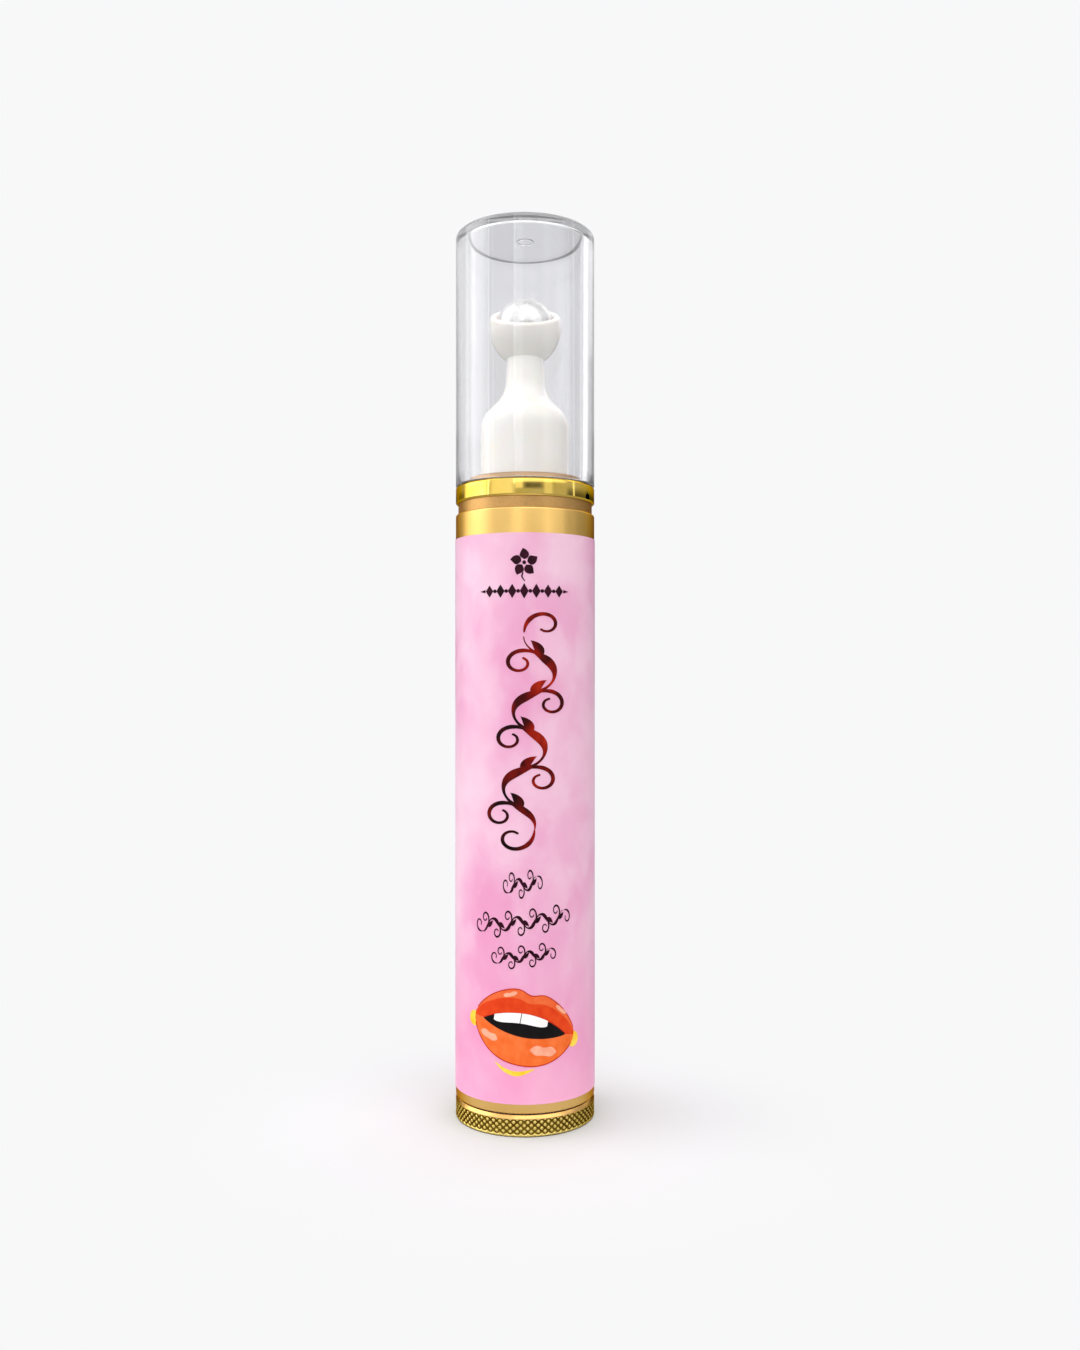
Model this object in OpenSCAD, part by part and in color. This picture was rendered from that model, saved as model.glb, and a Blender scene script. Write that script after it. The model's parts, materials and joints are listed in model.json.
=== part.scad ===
// Bottom-twist airless lip gloss tube with a steel roller ball.
// +Z up, front towards -Y, origin at the centre of the base, millimetres.

/* [Tube] */
// Outer diameter of the shell, the collar, the cap and the knob
tube_d = 19.5; // [19:0.1:21]
// Height of the gold body shell
shell_h = 81; // [81:0.5:95]
// Wall of the aluminium body shell
shell_wall = 0.5; // [0.4:0.05:0.6]
// Wall of the plastic reservoir inside the shell
reservoir_wall = 1; // [0.8:0.05:1.1]
// Bare band of the shell under the label
label_foot = 1.3; // [0.5:0.1:4]
// Bare band of the shell above the label
label_head = 3.5; // [1:0.1:6]
// Thickness of the label
label_t = 0.08; // [0.05:0.01:0.15]

/* [Twist knob] */
// Height of the knob under the shell
knob_h = 2.9; // [2.8:0.1:4]
// Gap between the knob and the shell
knob_gap = 0.2; // [0.15:0.05:0.3]
// Wall of the knob's metal sleeve
knob_wall = 0.45; // [0.3:0.05:0.6]

/* [Collar] */
// Height of the recessed band between the shell and the collar
groove_h = 1.5; // [1:0.1:2.5]
// Depth of the recessed band
groove_depth = 0.35; // [0.2:0.05:0.6]
// Height of the polished collar
collar_h = 2.4; // [2:0.1:4]
// Height of the sleeve that the cap clicks on, above the collar
cap_grip_h = 1; // [0.8:0.1:2.5]

/* [Cap] */
// Height of the clear cap
cap_h = 35.4; // [31:0.1:45]
// Wall of the clear cap
cap_wall = 1.6; // [1.2:0.05:1.6]
// Thickness of the cap's ceiling
cap_ceiling = 0.8; // [0.8:0.1:2]
// Rounding of the cap's top edge
cap_round = 0.7; // [0.5:0.1:1.5]

/* [Applicator] */
// Diameter of the steel ball
ball_d = 8; // [7.6:0.1:8.2]
// Height of the ball's centre above the collar
ball_rise = 22.7; // [22:0.1:24]
// Slant of the ball's opening towards the front, in degrees
opening_tilt = 30; // [0:1:40]
// How far the socket's lip closes over the ball, in degrees past its equator
lip_angle = 14.5; // [12:0.5:18]
// Diameter of the bulb that holds the ball
bulb_d = 10.3; // [10.2:0.1:10.8]
// Diameter of the waist under the bulb
waist_d = 5.6; // [5:0.1:6]
// Diameter of the head's skirt at the collar
skirt_d = 12.7; // [12.6:0.1:13]

/* [Drive] */
// Diameter of the lead screw over its thread
screw_d = 5; // [4.6:0.1:5.2]
// Rise of the piston in one turn of the knob
screw_lead = 4; // [3:0.5:6]
// Travel of the piston
piston_travel = 60; // [40:1:60]
// Number of ratchet teeth
ratchet_teeth = 24; // [16:2:36]

/* [Hidden] */

$fn = 96;

// Clearances
press_gap = 0.05;      // between pressed or glued pieces of one body
running_gap = 0.05;    // radial, between a shaft and its bearing
slide_gap = 0.03;      // radial, between the piston's lips and the reservoir
free_gap = 0.15;       // between faces of moving pieces that never bear

// Heights of the tube
tube_r = tube_d / 2;
shell_z = knob_h + knob_gap;
shell_top = shell_z + shell_h;
collar_z = shell_top + groove_h;
collar_top = collar_z + collar_h;
cap_gap = 0.1;
cap_z = collar_top + cap_gap;
cap_top = cap_z + cap_h;
edge = 0.25;           // bevel on the metal edges

// Radii of the tube's layers
shell_in_r = tube_r - shell_wall;
shell_lip_r = shell_in_r - 0.65;
reservoir_r = shell_in_r - press_gap;
bore_r = reservoir_r - reservoir_wall;
grip_r = tube_r - cap_wall - 0.1;

// Reservoir
shoulder_t = 1.5;
shoulder_top = shell_top - shell_wall - press_gap;
ceiling_z = shoulder_top - shoulder_t;
port_r = 3.4;
port_wall_r = 4.6;
port_top = collar_top + 3;
bead_z = shoulder_top + 2.7;
ring_z = port_top - 2;
o_ring_r = 0.4;

// Applicator head
skirt_r = skirt_d / 2;
head_bore_r = port_wall_r + 0.35;
head_z = shoulder_top + 0.2;
head_roof = port_top + 0.65;
valve_room_r = 2.4;
valve_room_top = port_top + 4;
channel_r = 1.1;
round_r = 3.8;         // convex rounding of the shoulder
waist_round_r = 4.95;  // concave sweep from the shoulder to the waist
waist_r = waist_d / 2;
round_z = collar_top + 8.2;
draft = 0.05;          // the skirt narrows by this much

// Ball and socket
ball_r = ball_d / 2;
ball_z = collar_top + ball_rise;
socket_r = ball_r + 0.06;
bulb_r = bulb_d / 2;
bulb_drop = 0.12;      // the bulb's centre lies this far behind the ball's
seat_r = 1.8;
seat_z = ball_z - ball_r - 0.45;
bulb_foot = ball_z - ball_r - 0.2;

// Bottom bearing, ratchet and knob
bearing_z = shell_z + 0.3;
ratchet_roof = bearing_z + 1.9;
web_z = bearing_z + 4;
web_top = web_z + 2;
reservoir_z = web_z + 0.6;
bearing_top = reservoir_z + 3;
journal_r = screw_d / 2 + 0.1;
hub_r = 5;
hub_top = web_z - 1;
tooth_r = 6.6;
tooth_depth = 0.6;
core_top = knob_h - 0.25;
knob_floor = 0.5;

// Screw and piston
flange_r = 4;
flange_z = web_top + running_gap;
thread_z = flange_z + 0.8;
thread_ecc = 0.35;     // the round thread is a circle swept about this eccentricity
screw_r = screw_d / 2;
nut_z = bearing_top + 1.4;
nut_h = 5;
screw_top = nut_z + nut_h - 0.4 + piston_travel;
foot_r = screw_r - 0.2;
nut_r = 4;
crown_z = nut_z + nut_h + 0.2;
piston_r = bore_r - 0.8;
lip_r = bore_r - slide_gap;

// ---- outline helpers ----

// Points of an arc, from angle a0 to a1
function arc(x, y, r, a0, a1, n = 9) =
    [for (i = [0:n]) let (a = a0 + (a1 - a0) * i / n) [x + r * cos(a), y + r * sin(a)]];

module tube(r_out, r_in, z0, z1) {
    translate([0, 0, z0]) difference() {
        cylinder(r = r_out, h = z1 - z0);
        translate([0, 0, -1]) cylinder(r = r_in, h = z1 - z0 + 2);
    }
}

// A round bead on a wall: half its height is as wide as it is deep
module bead(r, depth, z) {
    rotate_extrude()
        polygon([[r - 0.1, z - depth - 0.2], [r, z - depth - 0.1], [r + depth, z],
                 [r, z + depth + 0.1], [r - 0.1, z + depth + 0.2]]);
}

// ---- tube ----

module outer_shell() {
    color("#d9a94a")
        rotate_extrude()
            polygon([[shell_in_r, shell_z], [tube_r - edge, shell_z], [tube_r, shell_z + edge],
                     [tube_r, shell_top - edge], [tube_r - edge, shell_top],
                     [shell_lip_r, shell_top], [shell_lip_r, shell_top - shell_wall],
                     [shell_in_r, shell_top - shell_wall]]);
}

module label() {
    glue = 0.01;
    color("#f2b3d8")
        tube(tube_r + glue + label_t, tube_r + glue, shell_z + label_foot, shell_top - label_head);
}

// Inner bottle: open below for the piston, with a shoulder and a port on top
module reservoir_tube() {
    color("#f3f1ea") difference() {
        union() {
            rotate_extrude()
                polygon([[bore_r, reservoir_z], [reservoir_r, reservoir_z],
                         [reservoir_r, shoulder_top], [port_wall_r, shoulder_top],
                         [port_wall_r, port_top], [port_r, port_top], [port_r, ceiling_z],
                         [bore_r, ceiling_z]]);
            bead(port_wall_r, 0.45, bead_z);
        }
        // groove of the O-ring
        tube(port_wall_r + 1, port_wall_r - 0.5, ring_z - 0.5, ring_z + 0.5);
        // groove that the bearing's bead snaps into
        tube(bore_r + 0.15, bore_r - 1, reservoir_z + 1.2, reservoir_z + 1.8);
    }
}

module neck_o_ring() {
    color("#3a3a3c")
        rotate_extrude() translate([port_wall_r - 0.5 + o_ring_r + 0.02, ring_z])
            circle(r = o_ring_r, $fn = 32);
}

// Gold plastic ring: its edge is the recessed band, and its sleeve is what the cap clicks on
module cap_neck() {
    band_r = tube_r - groove_depth;
    spigot_r = shell_lip_r - press_gap;
    hole_r = skirt_r + 0.25;
    sleeve_in_r = grip_r - 0.8;
    color("#c99b45") union() {
        rotate_extrude()
            polygon([[hole_r, shoulder_top], [spigot_r, shoulder_top], [spigot_r, shell_top],
                     [band_r, shell_top], [band_r, collar_z], [grip_r, collar_z],
                     [grip_r, collar_top + cap_grip_h - 0.15],
                     [grip_r - 0.15, collar_top + cap_grip_h],
                     [sleeve_in_r, collar_top + cap_grip_h], [sleeve_in_r, collar_z],
                     [hole_r, collar_z]]);
        bead(grip_r, 0.06, collar_top + cap_grip_h / 2);
    }
}

module collar_ring() {
    in_r = grip_r + press_gap;
    color("#e8b93c")
        rotate_extrude()
            polygon([[in_r, collar_z], [tube_r - edge, collar_z], [tube_r, collar_z + edge],
                     [tube_r, collar_top - edge], [tube_r - edge, collar_top],
                     [in_r, collar_top]]);
}

// ---- applicator ----

// Skirt, shoulder and waist, with the bore for the reservoir's port and the feed channel
module head_outline() {
    shoulder = arc(skirt_r - draft - round_r, round_z, round_r, 0, 45);
    shoulder_end = shoulder[len(shoulder) - 1];
    // a 45 degree slope joins the shoulder's rounding to the waist's sweep
    sweep_x = waist_r + waist_round_r;
    slope = shoulder_end[0] - sweep_x + waist_round_r * cos(45);
    sweep_z = shoulder_end[1] + slope + waist_round_r * sin(45);
    polygon(concat(
        [[head_bore_r, head_z], [skirt_r, head_z]],
        shoulder,
        arc(sweep_x, sweep_z, waist_round_r, 225, 180),
        [[waist_r - 0.2, bulb_foot - 0.5], [waist_r - 0.2, bulb_foot],
         [channel_r, bulb_foot], [channel_r, valve_room_top],
         [valve_room_r, valve_room_top - 1], [valve_room_r, head_roof],
         [head_bore_r, head_roof]]));
}

// Wall of the bulb about the opening's axis, from its back to the rounded lip
module bulb_outline() {
    lip_out = -bulb_drop * sin(lip_angle)
        + sqrt(pow(bulb_r, 2) - pow(bulb_drop * cos(lip_angle), 2));
    lip_mid = (lip_out + socket_r) / 2;
    lip_half = (lip_out - socket_r) / 2;
    out_angle = asin((lip_out * sin(lip_angle) + bulb_drop) / bulb_r);
    polygon(concat(
        arc(0, -bulb_drop, bulb_r, -90, out_angle, 30),
        arc(lip_mid * cos(lip_angle), lip_mid * sin(lip_angle), lip_half,
            lip_angle, lip_angle + 180, 14),
        arc(0, 0, socket_r, lip_angle, -90, 26)));
}

module applicator_head() {
    color("#f5f2e6") difference() {
        union() {
            rotate_extrude() head_outline();
            translate([0, 0, ball_z]) rotate([opening_tilt, 0, 0])
                rotate_extrude() bulb_outline();
        }
        // feed channel and seat pocket through the bulb's back
        translate([0, 0, bulb_foot - 2]) cylinder(r = channel_r, h = 3);
        translate([0, 0, seat_z]) cylinder(r = seat_r, h = 1.5);
        // groove over the port's bead
        tube(head_bore_r + 0.2, head_bore_r - 1, bead_z - 0.5, bead_z + 0.5);
    }
}

// Dished washer with four feed channels
module ball_seat() {
    dish_r = ball_r + 0.05;
    hole_r = 0.7;
    slots = 4;
    rim_r = seat_r - press_gap;
    color("#e9e9e4") difference() {
        rotate_extrude()
            polygon(concat([[hole_r, seat_z + 0.05], [rim_r, seat_z + 0.05]],
                arc(0, ball_z, dish_r, asin(rim_r / dish_r) - 90, asin(hole_r / dish_r) - 90)));
        for (i = [0:slots - 1])
            rotate([0, 0, 360 / slots * i])
                translate([0, -0.2, seat_z + 0.3]) cube([seat_r, 0.4, 2]);
    }
}

// Silicone dome valve, closed by a slit
module outlet_valve() {
    wall = 0.4;
    dome_r = 2;
    dome_z = port_top + 1.2;
    color("#dfe6ea") difference() {
        rotate_extrude()
            polygon(concat(
                [[dome_r - wall, port_top], [port_wall_r - 0.1, port_top],
                 [port_wall_r - 0.1, port_top + 0.6], [dome_r, port_top + 0.6]],
                arc(0, dome_z, dome_r, 0, 90),
                arc(0, dome_z, dome_r - wall, 90, 0)));
        translate([-1.1, -0.04, dome_z + 1]) cube([2.2, 0.08, 2]);
    }
}

module roller_ball() {
    color("#c9ccd0") translate([0, 0, ball_z]) sphere(r = ball_r);
}

// ---- cap ----

module clear_cap() {
    in_r = tube_r - cap_wall;
    gate_r = 1.2;
    gate_depth = 0.12;
    in_round = 0.6;
    roof = cap_top - cap_ceiling;
    color([0.92, 0.94, 0.96, 0.35])
        rotate_extrude()
            polygon(concat(
                [[in_r, cap_z], [tube_r - 0.15, cap_z], [tube_r, cap_z + 0.15]],
                arc(tube_r - cap_round, cap_top - cap_round, cap_round, 0, 90),
                [[0, cap_top], [0, roof + gate_depth], [gate_r, roof + gate_depth],
                 [gate_r, roof]],
                arc(in_r - in_round, roof - in_round, in_round, 90, 0)));
}

// ---- bottom of the reservoir ----

// Plug that closes the reservoir and carries the screw's journal in its web
module bottom_bearing() {
    plug_r = bore_r - press_gap;
    ratchet_room_r = tooth_r + 1.9;
    hub_room_r = hub_r + 0.8;
    boss_in_r = flange_r + 0.4;
    wall = 0.9;
    color("#e4e2da") union() {
        rotate_extrude()
            polygon([[ratchet_room_r, bearing_z], [reservoir_r, bearing_z],
                     [reservoir_r, reservoir_z], [plug_r, reservoir_z], [plug_r, bearing_top],
                     [plug_r - wall, bearing_top], [plug_r - wall, web_top],
                     [boss_in_r + wall, web_top], [boss_in_r + wall, bearing_top],
                     [boss_in_r, bearing_top], [boss_in_r, web_top],
                     [journal_r + running_gap, web_top], [journal_r + running_gap, web_z],
                     [hub_room_r, web_z], [hub_room_r, ratchet_roof],
                     [ratchet_room_r, ratchet_roof]]);
        bead(plug_r, 0.12, reservoir_z + 1.5);
    }
}

// Ring with inner saw teeth: the ramps let the knob turn only so that the piston rises
module ratchet_ring() {
    step = 360 / ratchet_teeth;
    saw = [for (i = [0:ratchet_teeth - 1], side = [0, 1])
           let (r = tooth_r + tooth_depth * side, a = step * (i + 0.06 * side))
           [r * cos(a), r * sin(a)]];
    color("#bfc3c6") translate([0, 0, bearing_z + 0.2])
        linear_extrude(height = ratchet_roof - bearing_z - 0.25)
            difference() {
                circle(r = tooth_r + 1.9 - press_gap);
                polygon(saw);
            }
}

// Two trailing spring arms, whose noses ride over the saw teeth
module click_pawl() {
    arms = 2;
    arm_end = -100;
    arm_r = tooth_r - 0.3;
    arm_t = 0.35;
    nose_r = tooth_r - 0.1;
    nose_length = 7;
    root_r = hub_r + 0.6;
    root_end = -12;
    color("#f0d9a0") translate([0, 0, bearing_z + 0.4]) linear_extrude(height = 1.1) {
        difference() {
            circle(r = root_r);
            circle(r = hub_r + press_gap);
        }
        for (i = [0:arms - 1])
            rotate([0, 0, 360 / arms * i])
                polygon(concat(arc(0, 0, root_r - 0.2, 0, root_end, 3),
                               arc(0, 0, arm_r - arm_t, root_end, arm_end, 16),
                               [[nose_r * cos(arm_end), nose_r * sin(arm_end)]],
                               arc(0, 0, arm_r, arm_end + nose_length, 0, 16)));
    }
}

// ---- knob ----

// Drawn metal cup with a bevelled top edge; the knurled band is kept as a plain wall
module knob_sleeve() {
    foot = 0.3;
    bevel = 0.55;
    color("#b8953a")
        rotate_extrude()
            polygon(concat([[0, 0]],
                arc(tube_r - foot, foot, foot, -90, 0, 5),
                [[tube_r, knob_h - bevel], [tube_r - 0.3, knob_h],
                 [tube_r - knob_wall, knob_h], [tube_r - knob_wall, knob_floor],
                 [0, knob_floor]]));
}

// Plastic core: top plate, ribs and a hub with a hexagonal socket
module knob_core() {
    core_r = tube_r - knob_wall - press_gap;
    ribs = 8;
    pocket_z = core_top - 0.9;
    color("#f1efe8") difference() {
        union() {
            translate([0, 0, knob_floor]) cylinder(r = core_r, h = core_top - knob_floor);
            translate([0, 0, core_top]) cylinder(r = hub_r, h = hub_top - core_top);
        }
        difference() {
            tube(core_r - 1, hub_r + 0.2, knob_floor - 1, pocket_z);
            for (i = [0:ribs - 1])
                rotate([0, 0, 360 / ribs * i])
                    translate([hub_r - 0.5, -0.4, knob_floor - 1]) cube([core_r, 0.8, pocket_z + 1]);
        }
        translate([0, 0, knob_floor + 0.7])
            cylinder(r = foot_r + press_gap, h = hub_top, $fn = 6);
    }
}

// Circle swept round the axis: a rounded left-hand thread, as wide as r over its crests
module round_thread(r, z0, z1) {
    turns = (z1 - z0) / screw_lead;
    translate([0, 0, z0])
        rotate([0, 0, -360 * z0 / screw_lead])
            linear_extrude(height = z1 - z0, twist = 360 * turns, slices = round(turns * 10), $fn = 16)
                translate([thread_ecc, 0]) circle(r = r - thread_ecc);
}

module lead_screw() {
    clip_z = hub_top + 0.2;
    color("#ece9df") union() {
        difference() {
            union() {
                translate([0, 0, knob_floor + 0.9])
                    cylinder(r = foot_r, h = clip_z - knob_floor - 0.9, $fn = 6);
                translate([0, 0, clip_z]) cylinder(r = journal_r, h = flange_z - clip_z);
                translate([0, 0, flange_z]) cylinder(r = flange_r, h = thread_z - flange_z);
            }
            tube(journal_r + 1, journal_r - 0.5, hub_top + 0.25, web_z - 0.1);
        }
        round_thread(screw_r, thread_z, screw_top);
    }
}

// Open snap ring in the screw's groove, just under the bearing's web
module retaining_ring() {
    ring_in = journal_r - 0.45;
    color("#a9adb2") translate([0, 0, hub_top + 0.3])
        linear_extrude(height = web_z - free_gap - hub_top - 0.3)
            difference() {
                circle(r = ring_in + 1.2);
                circle(r = ring_in);
                polygon([[0, 0], [9, -5], [9, 5]]);
            }
}

// ---- piston ----

module drive_nut() {
    grip_top = nut_z + 0.8;
    keys = 4;
    color("#d8dde2") difference() {
        union() {
            translate([0, 0, nut_z]) cylinder(r = nut_r + 0.9, h = grip_top - nut_z);
            translate([0, 0, nut_z]) cylinder(r = nut_r - 0.4, h = nut_h);
            for (i = [0:keys - 1])
                rotate([0, 0, 360 / keys * i])
                    translate([0, -0.6, nut_z]) cube([nut_r - 0.05, 1.2, nut_h]);
        }
        round_thread(screw_r + 0.15, nut_z - screw_lead / 4, nut_z + nut_h + screw_lead / 4);
    }
}

// Carrier: hub over the nut, crown plate and skirt
module piston_body() {
    hub_in = nut_r + press_gap;
    hub_out = hub_in + 1;
    color("#eceae2")
        rotate_extrude()
            polygon([[hub_in, nut_z + 0.85], [hub_out, nut_z + 0.85], [hub_out, crown_z],
                     [piston_r - 1, crown_z], [piston_r - 1, nut_z],
                     [piston_r, nut_z], [piston_r, crown_z + 1.4],
                     [screw_r + free_gap, crown_z + 1.4], [screw_r + free_gap, crown_z - 0.15],
                     [hub_in, crown_z - 0.15]]);
}

// Soft seal over the carrier: two outer lips wipe the reservoir and an inner lip wipes the screw
module piston_seal() {
    wall_in = piston_r + press_gap;
    wall_out = wall_in + 0.35;
    top = crown_z + 1.4 + press_gap;
    wipe_r = screw_r + 0.1;
    color("#cfe0e6")
        rotate_extrude()
            polygon([[wall_in, nut_z + 0.2], [lip_r - 0.2, nut_z - 0.3], [lip_r, nut_z - 0.2],
                     [lip_r, nut_z + 0.1], [wall_out, nut_z + 1.2], [wall_out, top - 0.4],
                     [lip_r, top + 0.9], [lip_r, top + 1.2], [lip_r - 0.2, top + 1.3],
                     [wall_in, top + 0.6], [wipe_r + 0.9, top + 0.6], [wipe_r + 0.3, top + 1.1],
                     [wipe_r, top + 1.1], [wipe_r, top], [wall_in, top]]);
}

outer_shell();
label();
reservoir_tube();
neck_o_ring();
cap_neck();
collar_ring();
applicator_head();
ball_seat();
outlet_valve();
bottom_bearing();
ratchet_ring();
roller_ball();
knob_sleeve();
knob_core();
lead_screw();
retaining_ring();
click_pawl();
piston_body();
piston_seal();
drive_nut();
clear_cap();
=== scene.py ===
"""Looks of the bottom-twist lip gloss tube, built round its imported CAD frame. Metres, +Z up, front -Y."""
import json
import math

import bmesh
import bpy
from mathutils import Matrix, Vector


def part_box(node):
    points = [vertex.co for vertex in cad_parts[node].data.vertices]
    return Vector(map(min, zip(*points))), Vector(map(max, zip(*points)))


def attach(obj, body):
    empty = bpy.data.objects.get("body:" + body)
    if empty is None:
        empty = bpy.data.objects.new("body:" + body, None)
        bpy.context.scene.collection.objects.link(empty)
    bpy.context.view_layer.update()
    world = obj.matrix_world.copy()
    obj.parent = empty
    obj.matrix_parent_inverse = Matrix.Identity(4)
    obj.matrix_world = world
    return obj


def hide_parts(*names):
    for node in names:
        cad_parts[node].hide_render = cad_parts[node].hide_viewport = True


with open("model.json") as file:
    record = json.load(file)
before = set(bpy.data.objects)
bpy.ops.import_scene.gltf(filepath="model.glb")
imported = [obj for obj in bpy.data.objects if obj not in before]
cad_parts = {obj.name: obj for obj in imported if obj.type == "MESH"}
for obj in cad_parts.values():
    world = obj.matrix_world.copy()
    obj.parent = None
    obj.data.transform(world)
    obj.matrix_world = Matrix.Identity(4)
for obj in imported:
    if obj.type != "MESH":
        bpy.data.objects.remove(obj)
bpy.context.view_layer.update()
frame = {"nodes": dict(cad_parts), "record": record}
NODES = frame["nodes"]
MM = 0.001
TAU = 2 * math.pi


# ---------------------------------------------------------------- measures

def reach(node):
    """Outer radius and the lowest and highest z of a round CAD node."""
    low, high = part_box(node)
    return max(high.x, high.y), low.z, high.z


TUBE_R, SHELL_Z, SHELL_TOP = reach("outer_shell")
LABEL_R, LABEL_Z, LABEL_TOP = reach("label")
COLLAR_R, COLLAR_Z, COLLAR_TOP = reach("collar_ring")
CAP_R, CAP_Z, CAP_TOP = reach("clear_cap")
KNOB_R, KNOB_Z, KNOB_TOP = reach("knob_sleeve")
SHELL_WALL = 0.5 * MM
CAP_WALL = 1.6 * MM
CAP_CEILING = 0.8 * MM


# ---------------------------------------------------------------- mesh helpers

def add_mesh(name, verts, faces, material, sharp=35):
    """A new object from points and faces, smooth except where it turns by more than sharp degrees."""
    mesh = bpy.data.meshes.new(name)
    mesh.from_pydata([tuple(v) for v in verts], [], faces)
    build = bmesh.new()
    build.from_mesh(mesh)
    bmesh.ops.recalc_face_normals(build, faces=build.faces)
    build.to_mesh(mesh)
    build.free()
    mesh.shade_smooth()
    mesh.set_sharp_from_angle(angle=math.radians(sharp))
    mesh.materials.append(material)
    piece = bpy.data.objects.new(name, mesh)
    bpy.context.scene.collection.objects.link(piece)
    return piece


def bridge(a, b, closed):
    """Quads, or triangles at a single point, between two rows of vertex numbers."""
    if len(a) == 1 and len(b) == 1:
        return []
    count = max(len(a), len(b))
    faces = []
    for i in range(count if closed else count - 1):
        j = (i + 1) % count
        if len(a) == 1:
            faces.append((a[0], b[j], b[i]))
        elif len(b) == 1:
            faces.append((a[i], a[j], b[0]))
        else:
            faces.append((a[i], a[j], b[j], b[i]))
    return faces


def lathe(name, outline, material, segments=256, bulge=None, sharp=35):
    """Closed solid of revolution of a closed outline of (radius, z). bulge moves a point's radius."""
    verts, rings = [], []
    for radius, z in outline:
        turns = 1 if radius < 1e-9 else segments
        rings.append(list(range(len(verts), len(verts) + turns)))
        for k in range(turns):
            angle = TAU * k / segments
            r = radius + (bulge(angle, radius, z) if bulge else 0)
            verts.append((r * math.sin(angle), -r * math.cos(angle), z))
    faces = []
    for a, b in zip(rings, rings[1:] + rings[:1]):
        faces += bridge(a, b, True)
    return add_mesh(name, verts, faces, material, sharp)


def arc(x, z, r, start, end, steps=8):
    """Points of an arc from angle start to end, in degrees."""
    angles = [math.radians(start + (end - start) * i / steps) for i in range(steps + 1)]
    return [(x + r * math.cos(a), z + r * math.sin(a)) for a in angles]


def softened(corners, steps=4):
    """A closed outline whose (x, z, radius) corners are rounded off."""
    points = []
    for i, (x, z, radius) in enumerate(corners):
        if radius <= 0:
            points.append((x, z))
            continue
        here = Vector((x, z))
        before = Vector(corners[i - 1][:2]) - here
        after = Vector(corners[(i + 1) % len(corners)][:2]) - here
        cut = min(radius, before.length * 0.45, after.length * 0.45)
        p, q = here + before.normalized() * cut, here + after.normalized() * cut
        for k in range(steps + 1):
            t = k / steps
            point = p * (1 - t) ** 2 + here * 2 * t * (1 - t) + q * t ** 2
            points.append((point.x, point.y))
    return points


# ---------------------------------------------------------------- materials

def rgb(code):
    """Linear colour of a #rrggbb code."""
    values = [int(code[i:i + 2], 16) / 255 for i in (1, 3, 5)]
    return [v / 12.92 if v <= 0.04045 else ((v + 0.055) / 1.055) ** 2.4 for v in values] + [1]


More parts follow.
